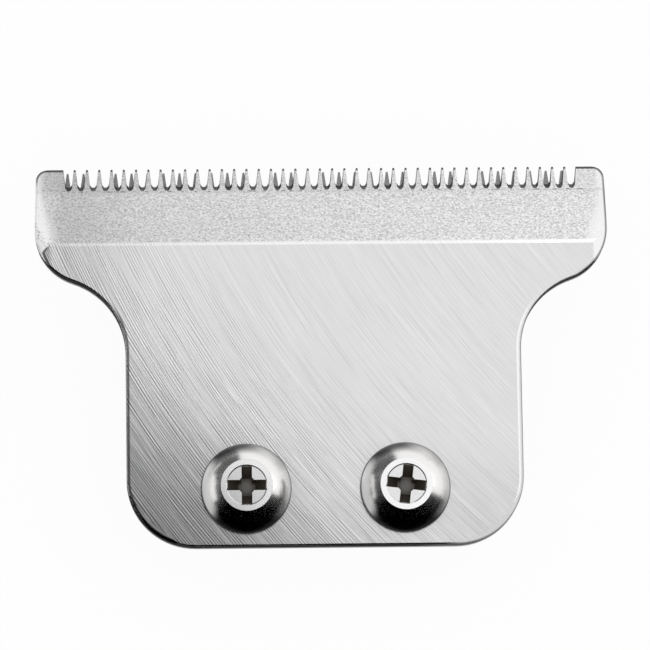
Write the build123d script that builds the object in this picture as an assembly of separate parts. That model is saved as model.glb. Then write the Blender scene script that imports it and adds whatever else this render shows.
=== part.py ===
from build123d import *
import math
import os

# Wide T-shaped trimmer blade set, in millimetres. It lies on the back of its carrier, front face up:
# X runs along the cutting edge, Y from the screws towards the tooth tips, and Z out of the front face.
# The origin is on the carrier's back, midway between the two screws.

# Fixed blade, a stamped and ground steel plate
BLADE_WIDTH = 40.0
NECK_WIDTH = 27.5
PLATE_THICKNESS = 1.5
SCREWS_TO_BOTTOM_EDGE = 3.95
SCREWS_TO_TIPS = 22.9
FLARE_START = 9.7
FLARE_INNER_RADIUS = 5.35
FLARE_OUTER_RADIUS = 3.8
BOTTOM_CORNER_RADIUS = 4.75
TOP_CORNER_RADIUS = 0.9
SIDE_TAPER = 0.1
DIE_ROLL_RADIUS = 0.1
CORNER_ROLL_WIDTH = 0.42
CORNER_ROLL_DROP = 0.25
CORNER_ROLL_REACH = 5.0
CORNER_ROLL_TURN = 60.0
END_BEVEL_WIDTH = 1.15
END_BEVEL_ANGLE = 23.0
END_BEVEL_ROUNDING = 0.5

# Ground band and comb of the fixed blade
BAND_HEIGHT = 5.7
RIDGE_BEVEL_WIDTH = 0.3
RIDGE_BEVEL_DROP = 0.12
BAND_HOLLOW = 0.05
ROOT_THICKNESS = 0.78
TIP_THICKNESS = 0.34
TIP_CHAMFER = 0.2
TOOTH_COUNT = 41
TOOTH_PITCH = 0.86
TOOTH_DEPTH = 1.65
TOOTH_TIP_WIDTH = 0.1
TOOTH_ROOT_WIDTH = 0.38
ROOT_FLAT_WIDTH = 0.2
ROOT_CORNER_HEIGHT = 0.17
ROOT_RAMP_ANGLE = 29.0
BACK_RELIEF_DEPTH = 0.2

# Moving blade
CUTTER_THICKNESS = 1.2
CUTTER_TOOTH_COUNT = 32
CUTTER_TOOTH_PITCH = 1.12
CUTTER_TOOTH_DEPTH = 1.3
CUTTER_TIP_WIDTH = 0.13
CUTTER_ROOT_WIDTH = 0.5
CUTTER_TIP_SETBACK = 0.23
CUTTER_BAR_HEIGHT = 6.8
CUTTER_BAR_CORNER = 2.0
CUTTER_TIP_THICKNESS = 0.45
CUTTER_BEVEL_HEIGHT = 3.4
CUTTER_RELIEF_DEPTH = 0.15
RAIL_HEIGHT = 1.1
TAIL_WIDTH = 12.8
TONGUE_WIDTH = 7.0
TAIL_CORNER_RADIUS = 1.0

# Travel of the moving blade to each side of the middle, and where it stands at rest
HALF_STROKE = 1.25
REST_OFFSET = -0.34

# Drive fork, moulded, with two pegs staked into the moving blade
FORK_WIDTH = 6.0
FORK_LENGTH = 4.6
FORK_BOTTOM = 0.7
FORK_SLOT_WIDTH = 2.4
FORK_ROOF = 0.9
FORK_EDGE = 0.35
PEG_DIAMETER = 1.5
PEG_SPACING = 4.0

# Carrier, moulded
CARRIER_DEPTH = 5.0
CARRIER_SIDE_INSET = 1.15
CARRIER_END_INSET = 1.4
CARRIER_TOP = 13.6
CARRIER_TOP_CORNER = 1.6
CARRIER_EDGE = 0.5
BRIDGE_HEIGHT = 4.2
BOSS_DIAMETER = 5.5
GUIDE_POST_DIAMETER = 1.6
GUIDE_POST_SPACING = 7.2
LATCH_LENGTH = 3.4
LATCH_HEIGHT = 1.8
LATCH_DEPTH = 0.8
LATCH_BOTTOM = 1.5
LATCH_START = 4.0

# Tension spring, bent from round wire
WIRE_DIAMETER = 0.8
SPRING_BEND_RADIUS = 1.0
SPRING_SIDE_INSET = 3.0
SPRING_END_LENGTH = 1.4
SPRING_FOOT_Y = 0.6
SPRING_FOOT_Z = 1.1
SPRING_BAR_ABOVE_HEEL = 1.4
OPEN_CHANNEL_LENGTH = 7.0

# Pan head screws with a cross recess
SCREW_SPACING = 11.0
SCREW_DIAMETER = 3.0
SCREW_LENGTH = 5.0
SCREW_TIP_CHAMFER = 0.4
HEAD_DIAMETER = 6.26
HEAD_HEIGHT = 1.9
HEAD_RIM_HEIGHT = 0.3
HEAD_LAND_DIAMETER = 3.6
RECESS_SPAN = 2.77
RECESS_WIDTH = 0.72
RECESS_DEPTH = 1.15
RECESS_BOTTOM_SPAN = 1.2
RECESS_CENTRE_DIAMETER = 1.3
RECESS_POINT_DIAMETER = 0.4
DISH_DIAMETER = 2.84
DISH_FLOOR_DIAMETER = 2.7
DISH_DEPTH = 0.06
RECESS_TURNS = (0.0, -7.0)

# Fits and running clearances
SLIDE_CLEARANCE = 0.02
GUIDE_CLEARANCE = 0.05
STAKE_CLEARANCE = 0.01
THREAD_CLEARANCE = 0.02
SCREW_HOLE_CLEARANCE = 0.2
WIRE_CLEARANCE = 0.3
SEAT_CLEARANCE = 0.02
RUNNING_GAP = 0.3
CUT_MARGIN = 1.0

# Heights of the stack above the surface that the carrier lies on
PLATE_BACK = CARRIER_DEPTH
PLATE_FRONT = PLATE_BACK + PLATE_THICKNESS
CUTTER_FRONT = PLATE_BACK - SLIDE_CLEARANCE
CUTTER_BACK = CUTTER_FRONT - CUTTER_THICKNESS
RECESS_FLOOR = CUTTER_BACK - RUNNING_GAP / 2

# Places along Y
RIDGE_Y = SCREWS_TO_TIPS - BAND_HEIGHT
ROOT_Y = SCREWS_TO_TIPS - TOOTH_DEPTH
CUTTER_TIPS_Y = SCREWS_TO_TIPS - CUTTER_TIP_SETBACK
HEEL_Y = CUTTER_TIPS_Y - CUTTER_BAR_HEIGHT
WINDOW_TOP = CARRIER_TOP - BRIDGE_HEIGHT
FORK_TOP = WINDOW_TOP - RUNNING_GAP
FORK_START = FORK_TOP - FORK_LENGTH
WINDOW_START = FORK_START - 2 * RUNNING_GAP
GUIDE_POST_Y = (WINDOW_TOP + CARRIER_TOP) / 2
SPRING_BAR_Y = HEEL_Y + SPRING_BAR_ABOVE_HEEL

# Places along X
SCREW_X = SCREW_SPACING / 2
CARRIER_HALF_WIDTH = NECK_WIDTH / 2 - CARRIER_SIDE_INSET
SPRING_LEG_X = CARRIER_HALF_WIDTH - SPRING_SIDE_INSET
SPRING_CHANNEL_HALF = WIRE_DIAMETER / 2 + WIRE_CLEARANCE


def block(x0, x1, y0, y1, z0, z1):
    """A box between two corners."""
    size = Box(x1 - x0, y1 - y0, z1 - z0)
    return Pos((x0 + x1) / 2, (y0 + y1) / 2, (z0 + z1) / 2) * size


def both_sides(shape):
    """A shape together with its mirror image across the middle."""
    return shape + mirror(shape, Plane.YZ)


def across(profile, half_length):
    """A profile drawn in Y and Z, carried along X to both sides."""
    return extrude(profile, amount=half_length, both=True)


def profile_yz(points):
    """A closed face in Y and Z through corner points."""
    corners = [(0, y, z) for y, z in points]
    return make_face(Polyline(*corners, close=True))


def comb_gap(depth):
    """The gap between two comb teeth, root at the origin: bevelled root corners, flanks that open to the tips."""
    flat_half = ROOT_FLAT_WIDTH / 2
    root_half = (TOOTH_PITCH - TOOTH_ROOT_WIDTH) / 2
    tip_half = (TOOTH_PITCH - TOOTH_TIP_WIDTH) / 2
    end_y = depth + CUT_MARGIN
    end_x = root_half + (tip_half - root_half) * (end_y - ROOT_CORNER_HEIGHT) / (depth - ROOT_CORNER_HEIGHT)
    right = [(flat_half, 0), (root_half, ROOT_CORNER_HEIGHT), (end_x, end_y)]
    left = [(-x, y) for x, y in reversed(right)]
    return make_face(Polyline(*right, *left, close=True))


def cutter_gap():
    """The gap between two cutter teeth, root at the origin: flat-bottomed, opening towards the tips."""
    root_half = (CUTTER_TOOTH_PITCH - CUTTER_ROOT_WIDTH) / 2
    tip_half = (CUTTER_TOOTH_PITCH - CUTTER_TIP_WIDTH) / 2
    end_y = CUTTER_TOOTH_DEPTH + CUT_MARGIN
    end_x = root_half + (tip_half - root_half) * end_y / CUTTER_TOOTH_DEPTH
    corners = [(-root_half, 0), (root_half, 0), (end_x, end_y), (-end_x, end_y)]
    return make_face(Polyline(*corners, close=True))


def plate_outline():
    """The T-shaped outline: rounded foot, straight neck, S-shaped flares and a straight top."""
    half_neck = NECK_WIDTH / 2
    half_blade = BLADE_WIDTH / 2
    bottom = -SCREWS_TO_BOTTOM_EDGE
    sideways = half_blade - half_neck
    turn = math.degrees(math.acos(1 - sideways / (FLARE_INNER_RADIUS + FLARE_OUTER_RADIUS)))
    foot = Line((0, bottom), (half_neck - BOTTOM_CORNER_RADIUS, bottom))
    corner = JernArc(foot @ 1, (1, 0), BOTTOM_CORNER_RADIUS, 90)
    neck = Line(corner @ 1, (half_neck, FLARE_START))
    inner = JernArc(neck @ 1, (0, 1), FLARE_INNER_RADIUS, -turn)
    outer = JernArc(inner @ 1, inner % 1, FLARE_OUTER_RADIUS, turn)
    side = Line(outer @ 1, (half_blade - SIDE_TAPER, SCREWS_TO_TIPS))
    top = Line(side @ 1, (0, SCREWS_TO_TIPS))
    half = Curve() + [foot, corner, neck, inner, outer, side, top]
    face = make_face(half + mirror(half, Plane.YZ))
    top_corners = face.vertices().group_by(Axis.Y)[-1].filter_by(lambda corner: abs(corner.X) > half_neck)
    return fillet(top_corners, TOP_CORNER_RADIUS)


def corner_roll():
    """What stamping draws down round the bottom right corner: a bevel that runs out along both edges."""
    inner = BOTTOM_CORNER_RADIUS + CORNER_ROLL_REACH - CORNER_ROLL_WIDTH
    outer = inner + 2 * CORNER_ROLL_WIDTH
    low = PLATE_FRONT - 2 * CORNER_ROLL_DROP
    above = PLATE_FRONT + CUT_MARGIN
    corners = [(inner, 0, PLATE_FRONT), (outer, 0, low), (outer, 0, above), (inner, 0, above)]
    bevel = revolve(make_face(Polyline(*corners, close=True)), axis=Axis.Z, revolution_arc=CORNER_ROLL_TURN)
    to_axis = BOTTOM_CORNER_RADIUS + CORNER_ROLL_REACH * math.sqrt(0.5)
    axis_x = NECK_WIDTH / 2 - to_axis
    axis_y = to_axis - SCREWS_TO_BOTTOM_EDGE
    return Pos(axis_x, axis_y, 0) * Rot(0, 0, -45 - CORNER_ROLL_TURN / 2) * bevel


def end_bevel():
    """What tumbling wears off the right end of the blade: a bevel along the side, rounded into the front face."""
    inner = BLADE_WIDTH / 2 - END_BEVEL_WIDTH
    outer = BLADE_WIDTH / 2 + CUT_MARGIN
    above = PLATE_FRONT + CUT_MARGIN
    roll = JernArc((inner, PLATE_FRONT), (1, 0), END_BEVEL_ROUNDING, -END_BEVEL_ANGLE)
    low = (roll @ 1).Y - (outer - (roll @ 1).X) * math.tan(math.radians(END_BEVEL_ANGLE))
    outline = roll + Polyline(roll @ 1, (outer, low), (outer, above), (inner, above), (inner, PLATE_FRONT))
    return extrude(Plane.XZ * make_face(outline), amount=2 * SCREWS_TO_TIPS, both=True)


def ground_band():
    """What grinding takes off the front: ridge bevel, hollow band, tooth bevel and tip chamfer."""
    ridge = (0, RIDGE_Y, PLATE_FRONT)
    below_ridge = (0, RIDGE_Y + RIDGE_BEVEL_WIDTH, PLATE_FRONT - RIDGE_BEVEL_DROP)
    root = (0, ROOT_Y, PLATE_BACK + ROOT_THICKNESS)
    middle_y = (below_ridge[1] + root[1]) / 2
    middle_z = (below_ridge[2] + root[2]) / 2 - BAND_HOLLOW
    chamfer_y = SCREWS_TO_TIPS - TIP_CHAMFER
    tip_slope = (ROOT_THICKNESS - TIP_THICKNESS) / TOOTH_DEPTH
    chamfer_z = PLATE_BACK + TIP_THICKNESS + TIP_CHAMFER * tip_slope
    tip = (0, SCREWS_TO_TIPS + CUT_MARGIN, chamfer_z - TIP_CHAMFER - CUT_MARGIN)
    above = PLATE_FRONT + CUT_MARGIN
    outline = Line(ridge, below_ridge)
    outline += ThreePointArc(below_ridge, (0, middle_y, middle_z), root)
    outline += Polyline(root, (0, chamfer_y, chamfer_z), tip, (0, tip[1], above), (0, RIDGE_Y, above), ridge)
    return across(make_face(outline), BLADE_WIDTH)


def fixed_blade():
    """The stamped plate, rolled over at its front edge, ground to a band and slotted into teeth."""
    plate = Pos(0, 0, PLATE_BACK) * extrude(plate_outline(), amount=PLATE_THICKNESS)
    plate = fillet(plate.faces().sort_by(Axis.Z)[-1].edges(), DIE_ROLL_RADIUS)
    plate -= both_sides(corner_roll())
    plate -= both_sides(end_bevel())
    plate -= ground_band()
    relief_start = HEEL_Y + RAIL_HEIGHT
    relief_end = ROOT_Y - RAIL_HEIGHT
    relief_top = PLATE_BACK + BACK_RELIEF_DEPTH
    plate -= block(-BLADE_WIDTH, BLADE_WIDTH, relief_start, relief_end, PLATE_BACK - CUT_MARGIN, relief_top)
    ramp = math.radians(ROOT_RAMP_ANGLE)
    tip_drop = ROOT_THICKNESS - TIP_THICKNESS
    gap = comb_gap(TOOTH_DEPTH * math.cos(ramp) - tip_drop * math.sin(ramp))
    root = Plane(
        (0, ROOT_Y, PLATE_BACK + ROOT_THICKNESS),
        x_dir=(1, 0, 0),
        z_dir=(0, -math.sin(ramp), math.cos(ramp)),
    )
    slot = root * extrude(gap, amount=PLATE_THICKNESS + CUT_MARGIN, both=True)
    first = -TOOTH_COUNT * TOOTH_PITCH / 2
    plate -= [Pos(first + number * TOOTH_PITCH, 0, 0) * slot for number in range(TOOTH_COUNT + 1)]
    hole = Cylinder(SCREW_DIAMETER / 2 + SCREW_HOLE_CLEARANCE, 2 * PLATE_THICKNESS + CUT_MARGIN)
    plate -= both_sides(Pos(SCREW_X, 0, PLATE_BACK) * hole)
    return plate


def cutter_outline():
    """The moving blade from the front: toothed bar, tail with two guide slots, and tongue for the fork."""
    half_bar = (CUTTER_TOOTH_COUNT - 1) * CUTTER_TOOTH_PITCH / 2 + CUTTER_ROOT_WIDTH / 2
    half_tail = TAIL_WIDTH / 2
    half_tongue = TONGUE_WIDTH / 2
    half = [
        (0, CUTTER_TIPS_Y),
        (half_bar, CUTTER_TIPS_Y),
        (half_bar, HEEL_Y),
        (half_tail, HEEL_Y),
        (half_tail, WINDOW_TOP),
        (half_tongue, WINDOW_TOP),
        (half_tongue, FORK_START),
        (0, FORK_START),
    ]
    right = make_face(Polyline(*half, close=True))
    face = right + mirror(right, Plane.YZ)
    heel_ends = face.vertices().filter_by(lambda corner: abs(corner.X) > half_bar - SLIDE_CLEARANCE)
    heel_ends = heel_ends.group_by(Axis.Y)[0]
    face = fillet(heel_ends, CUTTER_BAR_CORNER)
    tail_corners = face.vertices().filter_by(lambda corner: abs(corner.X) < half_tail + SLIDE_CLEARANCE)
    return fillet(tail_corners, TAIL_CORNER_RADIUS)


def moving_blade():
    """The cutter: hollow front between two rails, bevelled back, teeth, guide slots and fork holes."""
    blade = Pos(0, 0, CUTTER_BACK) * extrude(cutter_outline(), amount=CUTTER_THICKNESS)
    root_y = CUTTER_TIPS_Y - CUTTER_TOOTH_DEPTH
    relief_start = HEEL_Y + RAIL_HEIGHT
    relief_end = root_y - RAIL_HEIGHT
    relief_floor = CUTTER_FRONT - CUTTER_RELIEF_DEPTH
    blade -= block(-BLADE_WIDTH, BLADE_WIDTH, relief_start, relief_end, relief_floor, PLATE_BACK)
    bevel = [
        (CUTTER_TIPS_Y - CUTTER_BEVEL_HEIGHT, CUTTER_BACK),
        (CUTTER_TIPS_Y, CUTTER_FRONT - CUTTER_TIP_THICKNESS),
        (CUTTER_TIPS_Y + CUT_MARGIN, CUTTER_FRONT - CUTTER_TIP_THICKNESS),
        (CUTTER_TIPS_Y + CUT_MARGIN, CUTTER_BACK - CUT_MARGIN),
        (CUTTER_TIPS_Y - CUTTER_BEVEL_HEIGHT, CUTTER_BACK - CUT_MARGIN),
    ]
    blade -= across(profile_yz(bevel), BLADE_WIDTH)
    slot = extrude(cutter_gap(), amount=CUTTER_THICKNESS + CUT_MARGIN, both=True)
    slot = Pos(0, root_y, CUTTER_BACK) * slot
    first = -CUTTER_TOOTH_COUNT * CUTTER_TOOTH_PITCH / 2
    gaps = range(CUTTER_TOOTH_COUNT + 1)
    blade -= [Pos(first + number * CUTTER_TOOTH_PITCH, 0, 0) * slot for number in gaps]
    slot_width = GUIDE_POST_DIAMETER + 2 * GUIDE_CLEARANCE
    guide = SlotOverall(slot_width + 2 * HALF_STROKE + 2 * GUIDE_CLEARANCE, slot_width)
    guide = extrude(guide, amount=CUTTER_THICKNESS + 2 * CUT_MARGIN)
    blade -= both_sides(Pos(GUIDE_POST_SPACING / 2, GUIDE_POST_Y, CUTTER_BACK - CUT_MARGIN) * guide)
    peg_hole = Cylinder(PEG_DIAMETER / 2 + STAKE_CLEARANCE, 2 * CUTTER_THICKNESS + CUT_MARGIN)
    blade -= both_sides(Pos(PEG_SPACING / 2, FORK_START + FORK_LENGTH / 2, CUTTER_BACK) * peg_hole)
    return Pos(REST_OFFSET, 0, 0) * blade


def drive_fork():
    """The moulded fork under the tongue: an open slot for the drive pin, and two pegs into the blade."""
    half_width = FORK_WIDTH / 2
    half_slot = FORK_SLOT_WIDTH / 2
    body = block(-half_width, half_width, FORK_START, FORK_TOP, FORK_BOTTOM, CUTTER_BACK)
    body = fillet(body.edges().filter_by(Axis.Z), FORK_EDGE)
    slot_roof = CUTTER_BACK - FORK_ROOF
    slot = block(-half_slot, half_slot, FORK_START - CUT_MARGIN, FORK_TOP + CUT_MARGIN, -CUT_MARGIN, slot_roof)
    slot = fillet(slot.edges().filter_by(Axis.Y).group_by(Axis.Z)[-1], FORK_EDGE)
    body -= slot
    lowest = body.edges().filter_by(Axis.Y).group_by(Axis.Z)[0]
    mouth = lowest.filter_by(lambda edge: abs(edge.center().X) < half_slot + FORK_EDGE)
    body = chamfer(mouth, FORK_EDGE)
    peg_height = CUTTER_THICKNESS - CUTTER_RELIEF_DEPTH
    peg = Cylinder(PEG_DIAMETER / 2, peg_height, align=(Align.CENTER, Align.CENTER, Align.MIN))
    body += both_sides(Pos(PEG_SPACING / 2, FORK_START + FORK_LENGTH / 2, CUTTER_BACK) * peg)
    return Pos(REST_OFFSET, 0, 0) * body


def spring_plane():
    """The leaning plane that the spring's wire lies in, from its feet up to its pressing bar."""
    bar_z = CUTTER_BACK - SLIDE_CLEARANCE - WIRE_DIAMETER / 2
    rise = Vector(0, SPRING_BAR_Y - SPRING_FOOT_Y, bar_z - SPRING_FOOT_Z)
    across_wire = Vector(1, 0, 0)
    plane = Plane((0, SPRING_FOOT_Y, SPRING_FOOT_Z), x_dir=across_wire, z_dir=across_wire.cross(rise))
    return plane, rise.length


def wire_height(y):
    """Height of the wire's middle line at a place along its legs."""
    bar_z = CUTTER_BACK - SLIDE_CLEARANCE - WIRE_DIAMETER / 2
    share = (y - SPRING_FOOT_Y) / (SPRING_BAR_Y - SPRING_FOOT_Y)
    return SPRING_FOOT_Z + share * (bar_z - SPRING_FOOT_Z)


def tension_spring():
    """The bent wire that presses the moving blade on the fixed one: two legs, set in holes, and a bar."""
    plane, leg = spring_plane()
    corners = [
        (SPRING_LEG_X, -SPRING_END_LENGTH),
        (SPRING_LEG_X, leg),
        (-SPRING_LEG_X, leg),
        (-SPRING_LEG_X, -SPRING_END_LENGTH),
    ]
    path = plane * FilletPolyline(*corners, radius=SPRING_BEND_RADIUS)
    start = Plane(path @ 0, z_dir=path % 0)
    return sweep(start * Circle(WIRE_DIAMETER / 2), path=path)


def carrier_block():
    """The outside of the carrier, rounded at its corners and bevelled along its back edge."""
    bottom = CARRIER_END_INSET - SCREWS_TO_BOTTOM_EDGE
    body = block(-CARRIER_HALF_WIDTH, CARRIER_HALF_WIDTH, bottom, CARRIER_TOP, 0, CARRIER_DEPTH)
    uprights = body.edges().filter_by(Axis.Z).group_by(Axis.Y)
    body = fillet(uprights[0], BOTTOM_CORNER_RADIUS - CARRIER_END_INSET)
    body = fillet(body.edges().filter_by(Axis.Z).group_by(Axis.Y)[-1], CARRIER_TOP_CORNER)
    return chamfer(body.faces().sort_by(Axis.Z)[0].edges(), CARRIER_EDGE)


def spring_channels():
    """Room for the spring: holes for the ends of its legs, open channels, then tunnels out at the top."""
    ceiling = wire_height(CARRIER_TOP) + SPRING_CHANNEL_HALF
    channel_end = SPRING_FOOT_Y + OPEN_CHANNEL_LENGTH
    sill = wire_height(channel_end) - WIRE_DIAMETER / 2 - SEAT_CLEARANCE
    inner = SPRING_LEG_X - SPRING_CHANNEL_HALF
    outer = SPRING_LEG_X + SPRING_CHANNEL_HALF
    room = block(inner, outer, SPRING_FOOT_Y, channel_end, -CUT_MARGIN, ceiling)
    room += block(inner, outer, channel_end, CARRIER_TOP + CUT_MARGIN, sill, ceiling)
    plane, _ = spring_plane()
    hole_depth = SPRING_END_LENGTH + SEAT_CLEARANCE
    leg_end = Plane(plane.from_local_coords((SPRING_LEG_X, -hole_depth)), z_dir=plane.y_dir)
    wire_hole = leg_end * Circle(WIRE_DIAMETER / 2 + SEAT_CLEARANCE)
    room += extrude(wire_hole, amount=hole_depth + WIRE_DIAMETER)
    return both_sides(room)


def blade_carrier():
    """The moulded carrier behind the neck, with bosses, drive opening, guide posts and latch recesses."""
    body = carrier_block()
    top = CARRIER_TOP + CUT_MARGIN
    seat = CARRIER_DEPTH + CUT_MARGIN
    tail_room = TAIL_WIDTH / 2 + HALF_STROKE + RUNNING_GAP
    body -= block(-tail_room, tail_room, WINDOW_START, top, RECESS_FLOOR, seat)
    fork_room = FORK_WIDTH / 2 + HALF_STROKE + RUNNING_GAP
    body -= block(-fork_room, fork_room, WINDOW_START, WINDOW_TOP, -CUT_MARGIN, seat)
    shaft_room = SCREW_X - BOSS_DIAMETER / 2
    below = -SCREWS_TO_BOTTOM_EDGE
    body -= block(-shaft_room, shaft_room, below, WINDOW_START + CUT_MARGIN, -CUT_MARGIN, seat)
    body -= spring_channels()
    screw_hole = Cylinder(SCREW_DIAMETER / 2 + THREAD_CLEARANCE, 2 * CARRIER_DEPTH + CUT_MARGIN)
    body -= both_sides(Pos(SCREW_X, 0, CARRIER_DEPTH / 2) * screw_hole)
    recess_inner = CARRIER_HALF_WIDTH - LATCH_DEPTH
    recess_outer = CARRIER_HALF_WIDTH + CUT_MARGIN
    latch_end = LATCH_START + LATCH_LENGTH
    latch_top = LATCH_BOTTOM + LATCH_HEIGHT
    body -= both_sides(block(recess_inner, recess_outer, LATCH_START, latch_end, LATCH_BOTTOM, latch_top))
    post_height = PLATE_BACK - RUNNING_GAP / 2 - RECESS_FLOOR
    post = Cylinder(GUIDE_POST_DIAMETER / 2, post_height, align=(Align.CENTER, Align.CENTER, Align.MIN))
    body += both_sides(Pos(GUIDE_POST_SPACING / 2, GUIDE_POST_Y, RECESS_FLOOR) * post)
    return body


def cross_recess():
    """The cross recess of a screw head: a shallow dish in the land, two bars that narrow, a pointed centre."""
    floor_z = HEAD_HEIGHT - RECESS_DEPTH
    half_mouth = RECESS_SPAN / 2
    half_floor = RECESS_BOTTOM_SPAN / 2
    side = [(-half_floor, floor_z), (half_floor, floor_z), (half_mouth, HEAD_HEIGHT), (-half_mouth, HEAD_HEIGHT)]
    bar = extrude(profile_yz(side), amount=RECESS_WIDTH / 2, both=True)
    centre = Cone(RECESS_POINT_DIAMETER / 2, RECESS_CENTRE_DIAMETER / 2, RECESS_DEPTH)
    dish = Cone(DISH_FLOOR_DIAMETER / 2, DISH_DIAMETER / 2, DISH_DEPTH)
    recess = bar + Rot(0, 0, 90) * bar + Pos(0, 0, HEAD_HEIGHT - RECESS_DEPTH / 2) * centre
    return recess + Pos(0, 0, HEAD_HEIGHT - DISH_DEPTH / 2) * dish


def screw(turn):
    """One pan head screw, head upwards, its seat at height zero."""
    head = HEAD_DIAMETER / 2
    land = HEAD_LAND_DIAMETER / 2
    shank = SCREW_DIAMETER / 2
    rim = (head, 0, HEAD_RIM_HEIGHT)
    edge = (land, 0, HEAD_HEIGHT)
    centre_z = (head**2 + HEAD_RIM_HEIGHT**2 - land**2 - HEAD_HEIGHT**2) / 2 / (HEAD_RIM_HEIGHT - HEAD_HEIGHT)
    dome = math.hypot(head, HEAD_RIM_HEIGHT - centre_z)
    middle = (math.atan2(HEAD_RIM_HEIGHT - centre_z, head) + math.atan2(HEAD_HEIGHT - centre_z, land)) / 2
    outline = ThreePointArc(rim, (dome * math.cos(middle), 0, centre_z + dome * math.sin(middle)), edge)
    outline += Polyline(
        edge,
        (0, 0, HEAD_HEIGHT),
        (0, 0, -SCREW_LENGTH),
        (shank - SCREW_TIP_CHAMFER, 0, -SCREW_LENGTH),
        (shank, 0, SCREW_TIP_CHAMFER - SCREW_LENGTH),
        (shank, 0, 0),
        (head, 0, 0),
        rim,
    )
    body = revolve(make_face(outline), axis=Axis.Z)
    return Rot(0, 0, turn) * (body - cross_recess())


def blade_screws():
    """The two screws that clamp the fixed blade to the carrier, each turned as it was tightened."""
    left, right = RECESS_TURNS
    return Compound(children=[
        Pos(-SCREW_X, 0, PLATE_FRONT) * screw(left),
        Pos(SCREW_X, 0, PLATE_FRONT) * screw(right),
    ])


os.makedirs("parts", exist_ok=True)
export_step(fixed_blade(), "parts/fixed_blade.step")
export_step(moving_blade(), "parts/moving_blade.step")
export_step(drive_fork(), "parts/drive_fork.step")
export_step(blade_carrier(), "parts/blade_carrier.step")
export_step(tension_spring(), "parts/tension_spring.step")
export_step(blade_screws(), "parts/blade_screws.step")
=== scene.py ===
import math

import bpy
from mathutils import Matrix, Vector


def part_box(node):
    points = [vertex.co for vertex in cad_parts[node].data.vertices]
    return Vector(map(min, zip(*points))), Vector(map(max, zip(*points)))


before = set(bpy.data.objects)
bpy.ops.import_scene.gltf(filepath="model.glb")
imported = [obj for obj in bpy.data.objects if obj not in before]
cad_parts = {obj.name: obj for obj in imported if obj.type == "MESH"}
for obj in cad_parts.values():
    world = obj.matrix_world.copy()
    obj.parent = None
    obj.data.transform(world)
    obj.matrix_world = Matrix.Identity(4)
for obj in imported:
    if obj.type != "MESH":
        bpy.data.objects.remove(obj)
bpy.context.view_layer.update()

# Lengths are in millimetres, as in the part's drawing, and MM turns them into Blender's metres.
MM = 0.001

# Camera, worked out from the photograph: it looks down on the front face from below the screws.
IMAGE_PIXELS = 650
SENSOR = 36.0
FOCAL_PIXELS = 5126.0
CAMERA_TARGET = Vector((0.125, 11.4763, 6.5))
CAMERA_DISTANCE = 356.48
CAMERA_TILT = math.radians(10.4535)
CAMERA_YAW = math.radians(-2.3915)
CAMERA_ROLL = math.radians(-0.9086)

# Places on the blade set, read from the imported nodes
PLATE_LOW, PLATE_HIGH = (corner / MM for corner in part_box("fixed_blade"))
SCREWS_LOW, SCREWS_HIGH = (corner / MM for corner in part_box("blade_screws"))
TIPS_Y = PLATE_HIGH.y
HALF_WIDTH = PLATE_HIGH.x
PLATE_FRONT = PLATE_HIGH.z
PLATE_THICKNESS = PLATE_HIGH.z - PLATE_LOW.z
HEAD_TOP = SCREWS_HIGH.z
HEAD_RADIUS = (SCREWS_HIGH.y - SCREWS_LOW.y) / 2
SCREW_X = SCREWS_HIGH.x - HEAD_RADIUS

# Sizes of the plate and the screw heads, as in the part's drawing
BAND_HEIGHT = 5.7
RIDGE_BEVEL_WIDTH = 0.3
TOOTH_DEPTH = 1.65
TOP_CORNER_RADIUS = 0.9
SIDE_TAPER = 0.1
NECK_HALF_WIDTH = 13.75
BOTTOM_CORNER_RADIUS = 4.75
BOTTOM_CORNER_Y = PLATE_LOW.y + BOTTOM_CORNER_RADIUS
FLARE_START = 9.7
FLARE_INNER_RADIUS = 5.35
FLARE_OUTER_RADIUS = 3.8
FLARE_TOP_Y = 18.38
LAND_RADIUS = 1.8
DISH_RADIUS = 1.42
DISH_DEPTH = 0.06
RIDGE_Y = TIPS_Y - BAND_HEIGHT
ROOT_Y = TIPS_Y - TOOTH_DEPTH


def grey(value, warmth=0.0):
    """A neutral colour, a little warmer or cooler."""
    return (value * (1 + warmth), value, value * (1 - warmth), 1.0)


BLACK = grey(0.0)
WHITE = grey(1.0)

# Where a soft line fades out and where it is full, as shares of its width
LINE_FADE = 0.7
LINE_CORE = 0.2


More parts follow.
